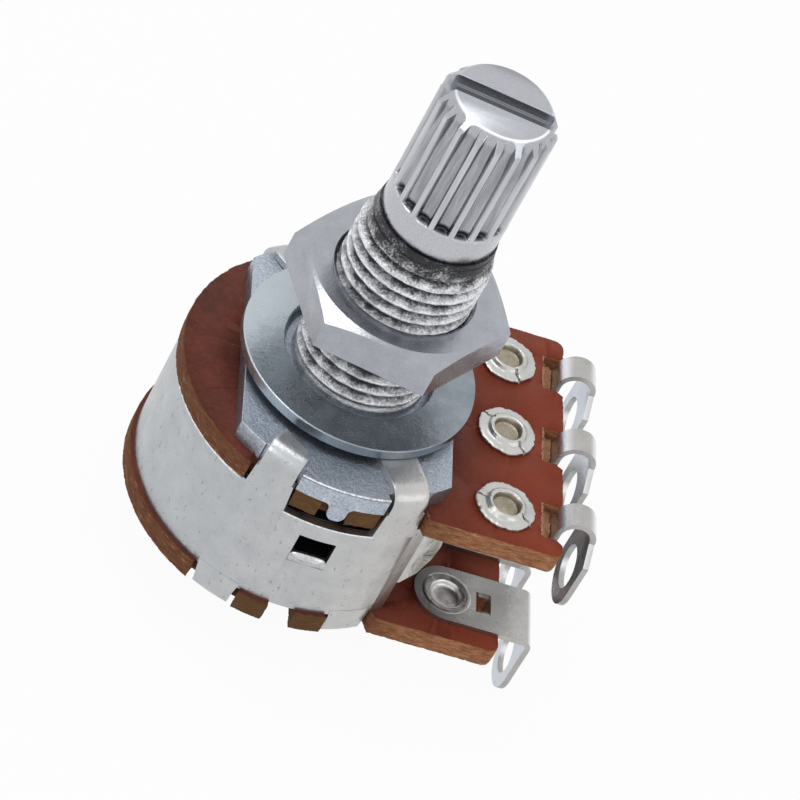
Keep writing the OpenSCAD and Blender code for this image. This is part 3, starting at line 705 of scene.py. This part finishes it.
def folded_tab(name, angle, end_r, end_half, reach_side, lift):
    """One housing tab with a soft bend, folded over the plate; reach_side lengthens one corner."""
    path = [(CAN_R, -1.25), (CAN_R, -0.9), (CAN_R, TAB_BEND_Z)]
    for k in range(1, 11):
        a = k * math.pi / 20
        path.append((CAN_R - TAB_BEND_R * (1 - math.cos(a)), TAB_BEND_Z + TAB_BEND_R * math.sin(a)))
    flat_from = CAN_R - TAB_BEND_R
    path += [(flat_from + (end_r - flat_from) * k / 6, TAB_TOP + lift * k / 6) for k in range(1, 7)]
    columns = 20
    turn = math.radians(angle)
    along = Vector((math.cos(turn), math.sin(turn), 0))
    across = Vector((-math.sin(turn), math.cos(turn), 0))
    rows = len(path)
    normals = []
    for i in range(rows):
        a = path[max(i - 1, 0)]
        b = path[min(i + 1, rows - 1)]
        length = math.hypot(b[0] - a[0], b[1] - a[1])
        normals.append(((b[1] - a[1]) / length, -(b[0] - a[0]) / length))
    verts = []
    for layer in (0.0, TAB_T):
        for i, (r, z) in enumerate(path):
            share = max(0.0, (flat_from - r) / (flat_from - end_r))
            half = 1.0 + (end_half - 1.0) * share
            for j in range(columns + 1):
                w = 2 * j / columns - 1
                edge = 1 - 0.04 * max(0.0, abs(w) - 0.9) / 0.1
                nick = 0.03 * noise.noise(Vector((w * 5, share * 3, angle)))
                extra = share * (reach_side * w * 0.28 - 0.1 * (1 - w * w) * abs(reach_side))
                rough = share * 0.05 * noise.noise(Vector((w * 6, angle, 2)))
                drop = 0.03 * max(0.0, abs(w) - 0.85) / 0.15 if layer == 0.0 else 0.0
                rr = r - layer * normals[i][0] - extra - rough - drop * normals[i][0]
                zz = z - layer * normals[i][1] - drop * normals[i][1]
                t = w * half * edge + nick * share
                spot = along * (rr - t * t / (2 * CAN_R)) + across * t
                verts.append((spot.x, spot.y, zz))
    tab = mesh_object(name, verts, slab_faces(rows, columns + 1))
    with editing(tab) as bm:
        turn_outward(bm)
    shade(tab, 45)
    place(tab, TIN, "base", "tinned_sheet", "housing")


def hole_lip():
    """Rolled lip under the housing's lanced hole."""
    columns = 28
    around = 16
    verts = []
    for i in range(columns + 1):
        t = 2 * i / columns - 1
        size = LIP_R * math.sqrt(max(0.0, 1 - abs(t) ** 2.5)) + 0.004
        bend = HOLE_TURN + t * HOLE_HALF / CAN_R
        for k in range(around):
            a = TAU * k / around
            r = CAN_R - 0.09 + size * math.cos(a) * 0.9
            z = HOLE_FLOOR + 0.06 + size * math.sin(a) + 0.02 * noise.noise(Vector((t * 4, 0, 1)))
            verts.append((r * math.cos(bend), r * math.sin(bend), z))
    faces = ring_faces(columns + 1, around, flip=True)
    faces.append(tuple(reversed(range(around))))
    faces.append(tuple(columns * around + k for k in range(around)))
    lip = mesh_object("hole_lip", verts, faces)
    shade(lip, 60)
    place(lip, LIP_TIN, "base", "tinned_sheet", "housing")


def housing():
    """The sheet housing: the CAD wall, with its front tabs formed anew."""
    obj = copy_of("housing", "housing_finish")
    with editing(obj) as bm:
        cut_above(bm, TAB_CUT_Z)
        bmesh.ops.holes_fill(bm, edges=open_edges(bm))
        turn_outward(bm)
    shade(obj)
    add_bevel(obj, 0.045)
    place(obj, TIN, "base", "tinned_sheet", "housing")
    for k, tab in enumerate(FRONT_TABS, 1):
        folded_tab("front_tab_%d" % k, *tab)
    hole_lip()


def knurl_r(angle, z):
    """Radius of the shaft's head below its chamfer."""
    r = groove_r(angle)
    open_share = smoothstep(KNURL_FOOT - 0.05, KNURL_FOOT + 0.06, z)
    shallow = TIP_HOLLOW * (1 - smoothstep(16.5, 18.3, z))
    deep = (SHAFT_R - r) / (KNURL_DEPTH + TIP_HOLLOW)
    r += shallow * deep
    r -= 0.1 * math.exp(-(((z - KNURL_FOOT - 0.15) / 0.16) ** 2)) * deep
    r = SHAFT_R - (SHAFT_R - r) * open_share
    return min(r, SHAFT_R - 0.05 * (1 - smoothstep(HEAD_FOOT, HEAD_FOOT + 0.07, z)))


def shaft_head():
    """Collar, knurl and chamfered tip as one closed mesh, before its slot is cut."""
    step = TAU / KNURL_TEETH
    gap_share = 1 - RIDGE_W / (step * SHAFT_R)
    marks = [-0.5, -0.46, -0.42, -0.38, -0.3, -0.2, -0.1, 0.0, 0.1, 0.2, 0.3, 0.38, 0.42, 0.46, 0.5]
    ridge = [0.25, 0.5, 0.75]
    angles = []
    for t in range(KNURL_TEETH):
        centre = KNURL_TURN + t * step
        angles += [centre + m * gap_share * step for m in marks]
        angles += [centre + (0.5 * gap_share + s * (1 - gap_share)) * step for s in ridge]
    levels = [HEAD_FOOT, HEAD_FOOT + 0.03, HEAD_FOOT + 0.08, 11.8, 12.4]
    levels += [12.6, 12.64, 12.67, 12.7, 12.73, 12.77, 12.82, 12.88, 12.95, 13.05, 13.2]
    levels += [14, 15, 16, 16.5, 17, 17.4, 17.8, 18.1, 18.3]
    slope = TIP_CHAMFER / (SHAFT_R - TIP_R)
    rows = [[(knurl_r(a, z), z) for a in angles] for z in levels]
    meet = []
    for a in angles:
        r = groove_r(a)
        burr = 0.02 * noise.noise(Vector((math.cos(a) * 12, math.sin(a) * 12, 3)))
        meet.append((r, SHAFT_TOP - TIP_CHAMFER + (SHAFT_R - r) * slope + burr))
    rows.append(meet)
    for share in (0.35, 0.7, 1.0):
        rows.append([(r + (TIP_R - r) * share, z + (SHAFT_TOP - 0.03 - z) * share) for r, z in meet])
    rows.append([(TIP_R - 0.03, SHAFT_TOP)] * len(angles))
    verts = []
    for row in rows:
        verts += [(r * math.cos(a), r * math.sin(a), z) for a, (r, z) in zip(angles, row)]
    n = len(angles)
    faces = ring_faces(len(rows), n)
    faces.append(tuple(range(n - 1, -1, -1)))
    faces.append(tuple((len(rows) - 1) * n + j for j in range(n)))
    return mesh_object("shaft_finish", verts, faces)


def cut_slot(head):
    """Cuts the screwdriver slot and rounds its top edges a little."""
    half = SLOT_W / 2
    low = SHAFT_TOP - SLOT_DEPTH
    plan = ((-4, -half), (4, -half), (4, half), (-4, half))
    corners = [(x, y, z) for z in (low, SHAFT_TOP + 1) for x, y in plan]
    turned = Matrix.Rotation(SLOT_TURN, 3, "Z")
    box = mesh_object(
        "slot_tool", [tuple(turned @ Vector(c)) for c in corners],
        [(3, 2, 1, 0), (4, 5, 6, 7), (0, 1, 5, 4), (1, 2, 6, 5), (2, 3, 7, 6), (3, 0, 4, 7)])
    boolean = head.modifiers.new("slot", "BOOLEAN")
    boolean.operation = "DIFFERENCE"
    boolean.solver = "EXACT"
    boolean.object = box
    bake(head)
    bpy.data.objects.remove(box)
    inward = turned.inverted()
    with editing(head) as bm:
        top = []
        for e in bm.edges:
            a, b = (inward @ (v.co / MM) for v in e.verts)
            on_wall = abs(abs(a.y) - half) < 1e-3 and abs(abs(b.y) - half) < 1e-3
            if on_wall and a.z > low + 0.01 and b.z > low + 0.01:
                top.append(e)
        bmesh.ops.bevel(bm, geom=top, offset=0.035 * MM, segments=2, affect="EDGES", clamp_overlap=True)


def bake(obj):
    """Applies the object's modifiers to its mesh."""
    depsgraph = bpy.context.evaluated_depsgraph_get()
    done = bpy.data.meshes.new_from_object(obj.evaluated_get(depsgraph))
    obj.modifiers.clear()
    obj.data = done


def join_into(target, other):
    """Puts the other object's mesh into the target's and removes the other."""
    with editing(target) as bm:
        bm.from_mesh(other.data)
    bpy.data.objects.remove(other)


def shaft_stem():
    """The shaft below its head: neck, clip groove and flatted tongue."""
    obj = copy_of("shaft", "shaft_stem")
    with editing(obj) as bm:
        cut_above(bm, HEAD_FOOT - 0.1)
        for v in bm.verts:
            if v.co.z > (HEAD_FOOT - 0.11) * MM:
                v.co.z = (HEAD_FOOT + 0.01) * MM
        bmesh.ops.holes_fill(bm, edges=open_edges(bm))
        turn_outward(bm)
    return obj


def rough_walls(bm, worn_window):
    """Splits a board's upright walls into small faces and chips them inward."""
    def walls():
        return [f for f in bm.faces if abs(f.normal.z) < 0.2 and len(f.verts) == 4]

    flats = [f for f in bm.faces if abs(f.normal.z) > 0.9]
    bmesh.ops.delete(bm, geom=flats, context="FACES")
    by_cuts = {}
    for face in walls():
        for e in face.edges:
            cuts = int(e.calc_length() / (0.7 * MM))
            if cuts and abs(e.verts[0].co.z - e.verts[1].co.z) < 1e-7:
                by_cuts.setdefault(cuts, set()).add(e)
    for cuts, edges in by_cuts.items():
        bmesh.ops.subdivide_edges(bm, edges=list(edges), cuts=cuts, use_grid_fill=True)
    edges = {e for f in walls() for e in f.edges}
    bmesh.ops.subdivide_edges(bm, edges=list(edges), cuts=5, use_grid_fill=True)
    bm.normal_update()
    wall = set(walls())
    levels = [v.co.z for f in wall for v in f.verts]
    ends = (min(levels), max(levels))
    moves = []
    for v in {v for f in wall for v in f.verts}:
        out = sum((f.normal for f in v.link_faces if f in wall), Vector())
        out.z = 0
        p = v.co / MM
        layer = noise.noise(Vector((p.x * 1.9, p.y * 1.9, p.z * 5.0)))
        fine = noise.noise(Vector((p.x * 7.0, p.y * 7.0, p.z * 9.0)))
        depth = 0.02 * (1 + layer) + 0.035 * max(0.0, fine)
        if min(abs(v.co.z - end) for end in ends) < 1e-7:
            depth += 0.025 + 0.035 * max(0.0, fine)
        move = out.normalized() * (-depth * MM)
        if worn_window and p.y < -8 and abs(p.x) < 2.7:
            move.y += WINDOW_SET_BACK * MM
        moves.append((v, move))
    for v, move in moves:
        v.co += move
    for end, up in zip(ends, (-1, 1)):
        rim = [e for e in open_edges(bm) if all(abs(v.co.z - end) < 1e-7 for v in e.verts)]
        bmesh.ops.triangle_fill(bm, use_beauty=True, edges=rim, normal=(0, 0, up))
    bmesh.ops.recalc_face_normals(bm, faces=bm.faces)


def board(node):
    """A laminate board with chipped, fibrous edges."""
    obj = copy_of(node, node + "_finish")
    with editing(obj) as bm:
        rough_walls(bm, node == "front_board")
    shade(obj, 45)
    place(obj, BOARD, "base", "laminate", node)


def notch_burrs():
    """Torn fibres along the inner edge of each notch in the front board's tail."""
    verts = []
    faces = []
    chance = random.Random(7)
    for side in (1, 0, -1):
        for k in range(26):
            y = side * EYELET_PITCH + FRONT_SHIFT + chance.uniform(-0.5, 0.5) * NOTCH_W
            x = NOTCH_X + chance.uniform(-0.05, 0.03)
            long = chance.uniform(0.08, 0.24)
            lean = chance.uniform(-0.1, 0.1)
            lift = chance.uniform(0.02, 0.09)
            first = len(verts)
            verts += [
                (x - 0.08, y - long, FRONT_BOARD_Z - 0.03), (x - 0.08, y + long, FRONT_BOARD_Z - 0.03),
                (x + 0.04, y, FRONT_BOARD_Z - 0.16), (x + 0.02, y + lean, FRONT_BOARD_Z + lift)]
            faces += [tuple(first + i for i in f) for f in ((0, 2, 1), (0, 1, 3), (1, 2, 3), (2, 0, 3))]
    burrs = mesh_object("notch_burrs", verts, faces)
    place(burrs, BURR, "base", "laminate")


def notch_ledges():
    """Torn lower plies of the laminate left standing in the notches, round the terminals' necks."""
    verts = []
    faces = []
    columns = 16
    rows = 10
    for side in (1, 0, -1):
        first = len(verts)
        y0 = side * EYELET_PITCH + FRONT_SHIFT
        for i in range(rows + 1):
            for j in range(columns + 1):
                x = NOTCH_X - 0.1 + (RISER_X - 0.04 - NOTCH_X + 0.1) * i / rows
                y = y0 + (j / columns - 0.5) * (NOTCH_W + 0.16)
                tear = noise.fractal(Vector((x * 2.4, y * 2.4, side * 5)), 0.7, 2.0, 4)
                near_wall = max(0.0, 1 - (x - NOTCH_X) / 0.45)
                z = FRONT_BOARD_Z - 0.62 + 0.34 * near_wall + 0.22 * tear
                verts.append((x, y, min(z, FRONT_BOARD_Z - 0.06)))
        low = FRONT_BOARD_Z - BOARD_T + 0.03
        verts += [(x, y, low) for x, y, _ in verts[first:]]
        faces += slab_faces(rows + 1, columns + 1, first)
    ledges = mesh_object("notch_ledges", verts, faces)
    shade(ledges, 50)
    place(ledges, TORN, "base", "laminate")


def eyelet(name, centre, up, splits):
    """Flared end of a terminal's eyelet: ragged flange with splits, rolled ridge and shallow cup."""
    columns = 180
    profile = [
        (0.3, 0.05), (0.56, 0.06), (0.64, 0.09), (0.68, 0.2), (0.73, 0.36), (0.8, 0.42), (0.88, 0.43),
        (0.95, 0.4), (1.01, 0.3), (1.08, 0.235), (1.2, 0.22), (1.35, 0.21), (1.48, 0.2), (EYELET_R, 0.16),
        (EYELET_R + 0.02, 0.08), (EYELET_R - 0.02, 0.0), (1.0, -0.01)]
    x, y, z = centre
    seed = Vector((x * 3, y * 3, z))
    verts = []
    for r0, h0 in profile:
        for j in range(columns):
            a = TAU * j / columns
            around = Vector((math.cos(a), math.sin(a), 0))
            ragged = 0.09 * noise.noise(around * 2.3 + seed) + 0.06 * noise.noise(around * 8 + seed)
            r = r0 + smoothstep(1.4, 1.5, r0) * (ragged - 0.03)
            wave = 0.04 * noise.noise(around * 1.7 - seed) + 0.016 * noise.noise(around * r0 * 5 + seed)
            h = h0 + wave * smoothstep(0.0, 0.3, h0)
            for split in splits:
                off = abs((a - split + math.pi) % TAU - math.pi) * r0
                cut = (1 - smoothstep(0.035, 0.07, off)) * smoothstep(0.86, 0.98, r0)
                h -= cut * max(h - 0.01, 0)
            verts.append((x + r * around.x, y + r * around.y, z + up * h))
    rows = len(profile)
    faces = ring_faces(rows, columns, flip=True)
    faces.append(tuple(range(columns)))
    faces.append(tuple((rows - 1) * columns + j for j in reversed(range(columns))))
    if up < 0:
        faces = [face[::-1] for face in faces]
    cup = mesh_object(name, verts, faces)
    shade(cup, 40)
    paint(cup, FLANGE)
    cup.data.materials.append(CUP)
    floor_quads = 4 * columns
    lid_face = len(faces) - 2
    for polygon in cup.data.polygons:
        if polygon.index < floor_quads or polygon.index == lid_face:
            polygon.material_index = 1
    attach(cup, "base")


def drawn_mouth(name, centre):
    """The drawn side of a rear eyelet: a raised ring round a bright shallow bowl."""
    columns = 96
    profile = [
        (1.34, -0.03), (1.3, 0.012), (1.22, 0.03), (1.12, 0.028), (1.05, 0.012), (0.98, 0.012), (0.9, 0.0),
        (0.84, -0.06), (0.8, -0.18), (0.73, -0.29), (0.6, -0.34), (0.36, -0.35), (0.12, -0.345)]
    x, y, z = centre
    verts = []
    for r, h in profile:
        for j in range(columns):
            a = TAU * j / columns
            lump = 0.012 * noise.noise(Vector((math.cos(a) * r * 3, math.sin(a) * r * 3, y)))
            verts.append((x + r * math.cos(a), y + r * math.sin(a), z + h + lump))
    faces = ring_faces(len(profile), columns)
    faces.append(tuple((len(profile) - 1) * columns + j for j in range(columns)))
    mouth = mesh_object(name, verts, faces)
    shade(mouth, 40)
    paint(mouth, TINNED_BRASS)
    mouth.data.materials.append(BOWL)
    for polygon in mouth.data.polygons:
        if polygon.index >= 7 * columns:
            polygon.material_index = 1
    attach(mouth, "base")


def cut_flange(obj, centre, up):
    """Takes the plain flare of a CAD eyelet off level with the board and opens the drawn mouth."""
    near_r = EYELET_REACH * MM
    middle = Vector(centre) * MM
    bm = bmesh.new()
    bm.from_mesh(obj.data)
    near = [f for f in bm.faces if all((v.co - middle).xy.length < near_r for v in f.verts)]
    parts = set(near)
    for f in near:
        parts.update(f.edges)
        parts.update(f.verts)
    bmesh.ops.bisect_plane(
        bm, geom=list(parts), dist=1e-9, plane_co=middle + Vector((0, 0, up * 0.002 * MM)),
        plane_no=(0, 0, up), clear_outer=True)
    bmesh.ops.bridge_loops(bm, edges=open_edges(bm))
    for v in bm.verts:
        flat = (v.co - middle).xy
        if abs(v.co.z - middle.z) < 0.004 * MM and 0.9 * MM < flat.length < near_r:
            v.co.x = middle.x + flat.x / flat.length * EYELET_NECK_R * MM
            v.co.y = middle.y + flat.y / flat.length * EYELET_NECK_R * MM
    if up < 0:
        strip_top = middle.z + (BOARD_T + TERMINAL_T) * MM
        for v in bm.verts:
            away = v.co - middle
            if away.xy.length < 0.64 * MM and abs(v.co.z - strip_top) < 1e-6:
                v.co.x = middle.x + away.x * 1.42
                v.co.y = middle.y + away.y * 1.42
            if abs(away.x / MM - PRONG_BACK) < 0.02 and abs(away.y) < 0.8 * MM:
                v.co.x -= 0.3 * MM
    turn_outward(bm)
    bm.to_mesh(obj.data)
    bm.free()


def terminal(node, centre, up, splits):
    """A terminal with rounded sheet edges and a detailed eyelet."""
    obj = copy_of(node, node + "_finish")
    cut_flange(obj, centre, up)
    shade(obj)
    add_bevel(obj, 0.06, 3)
    place(obj, TINNED_BRASS, "base", "tinned_brass", node)
    eyelet(node + "_eyelet", centre, up, [math.radians(a) for a in splits])
    if up < 0:
        drawn_mouth(node + "_mouth", (centre[0], centre[1], centre[2] + BOARD_T + TERMINAL_T))


# Shaft
head = shaft_head()
cut_slot(head)
join_into(head, shaft_stem())
shade(head, 28)
place(head, NICKEL, "spindle", "nickel_plate", "shaft")

# Bushing and plate
plate = plate_only()
place(plate, CAST, "base", "zinc_casting", "bushing_plate")
tube = threaded_tube()
place(tube, THREAD, "base", "zinc_casting", "bushing_plate")

# Nut, washer and housing, in the form the CAD gives them
dressed("hex_nut", NUT_ZINC, "base", "zinc_plate", 0.025, 2, 14)
dressed("flat_washer", ZINC, "base", "zinc_plate", 0.07, 3)
housing()
plate_nub()

# The two gangs
board("front_board")
board("rear_board")
notch_burrs()
notch_ledges()
for gang, seat_x, shift, seat_z, up in (
        ("front", FRONT_EYELET_X, FRONT_SHIFT, FRONT_BOARD_Z, 1),
        ("rear", REAR_EYELET_X, REAR_SHIFT, REAR_BACK_Z, -1)):
    dressed(gang + "_track", CARBON, "base", "carbon_print", 0.01, 1)
    dressed(gang + "_collector", SILVER, "base", "silver_print", 0.01, 1)
    dressed(gang + "_rotor", BLACK, "spindle", "black_moulding", 0.06)
    dressed(gang + "_wiper", BRASS, "spindle", "contact_brass", 0.02, 1)
    for k, side in ((1, 1), (2, 0), (3, -1)):
        seat = (seat_x, side * EYELET_PITCH + shift, seat_z)
        terminal("%s_terminal_%d" % (gang, k), seat, up, EYELET_SPLITS[k])
dressed("shaft_clip", SPRING, "spindle", "spring_steel", 0.04)


# Stage: camera, floor, lamps and world
camera_data = bpy.data.cameras.new("camera")
camera = link(bpy.data.objects.new("camera", camera_data))
right = Vector((0.92848306, 0.02850704, 0.37027901))
down = Vector((0.2779786, -0.71451163, -0.64202884))
ahead = Vector((0.24626632, 0.69904255, -0.67133629))
turn = Matrix((right, -down, -ahead)).transposed().to_4x4()
camera.matrix_world = Matrix.Translation(Vector((-50.335, -150.925, 143.834)) * MM) @ turn
camera_data.lens = 196.46
camera_data.sensor_width = 36
camera_data.clip_start = 0.01
camera_data.clip_end = 10
scene.camera = camera


def white_where_seen(tree, seen, lit):
    """Mixes two shaders so that camera, glossy and transmission rays meet the first."""
    path = tree.nodes.new("ShaderNodeLightPath")
    total = path.outputs["Is Camera Ray"]
    for name in ("Is Glossy Ray", "Is Transmission Ray"):
        add = tree.nodes.new("ShaderNodeMath")
        add.operation = "MAXIMUM"
        tree.links.new(total, add.inputs[0])
        tree.links.new(path.outputs[name], add.inputs[1])
        total = add.outputs["Value"]
    mix = tree.nodes.new("ShaderNodeMixShader")
    tree.links.new(total, mix.inputs["Fac"])
    tree.links.new(lit, mix.inputs[1])
    tree.links.new(seen, mix.inputs[2])
    return mix.outputs["Shader"]


def make_floor():
    plan = ((-1, -1), (1, -1), (1, 1), (-1, 1))
    floor = mesh_object("floor", [(x * FLOOR_HALF, y * FLOOR_HALF, FLOOR_Z) for x, y in plan], [(0, 1, 2, 3)])
    material = bpy.data.materials.new("floor")
    material.use_nodes = True
    tree = material.node_tree
    diffuse = tree.nodes["Principled BSDF"]
    diffuse.inputs["Base Color"].default_value = (0.9, 0.9, 0.9, 1)
    diffuse.inputs["Roughness"].default_value = 0.9
    glow = tree.nodes.new("ShaderNodeEmission")
    glow.inputs["Strength"].default_value = 1.0
    blend = tree.nodes.new("ShaderNodeMixShader")
    blend.inputs["Fac"].default_value = 0.95
    tree.links.new(diffuse.outputs["BSDF"], blend.inputs[1])
    tree.links.new(glow.outputs["Emission"], blend.inputs[2])
    result = white_where_seen(tree, blend.outputs["Shader"], diffuse.outputs["BSDF"])
    tree.links.new(result, tree.nodes["Material Output"].inputs["Surface"])
    paint(floor, material)


def make_world():
    world = bpy.data.worlds.new("studio")
    scene.world = world
    world.use_nodes = True
    tree = world.node_tree
    seen = tree.nodes["Background"]
    seen.inputs["Color"].default_value = (1, 1, 1, 1)
    seen.inputs["Strength"].default_value = 1.0
    lit = tree.nodes.new("ShaderNodeBackground")
    lit.inputs["Color"].default_value = (1, 1, 1, 1)
    lit.inputs["Strength"].default_value = 0.55
    result = white_where_seen(tree, seen.outputs["Background"], lit.outputs["Background"])
    tree.links.new(result, tree.nodes["World Output"].inputs["Surface"])


def soft_lamp(name, place_mm, size_mm, watts):
    data = bpy.data.lights.new(name, "AREA")
    data.shape = "DISK"
    data.size = size_mm * MM
    data.energy = watts
    lamp = link(bpy.data.objects.new(name, data))
    spot = Vector(place_mm) * MM
    lamp.location = spot
    lamp.rotation_euler = (-spot).to_track_quat("-Z", "Y").to_euler()


make_floor()
make_world()
soft_lamp("key", (-190, -120, 200), 130, 0.11)
soft_lamp("fill", (190, -160, 120), 160, 0.05)
soft_lamp("overhead", (-54, 50, 218), 90, 0.09)

scene.view_settings.view_transform = "Standard"
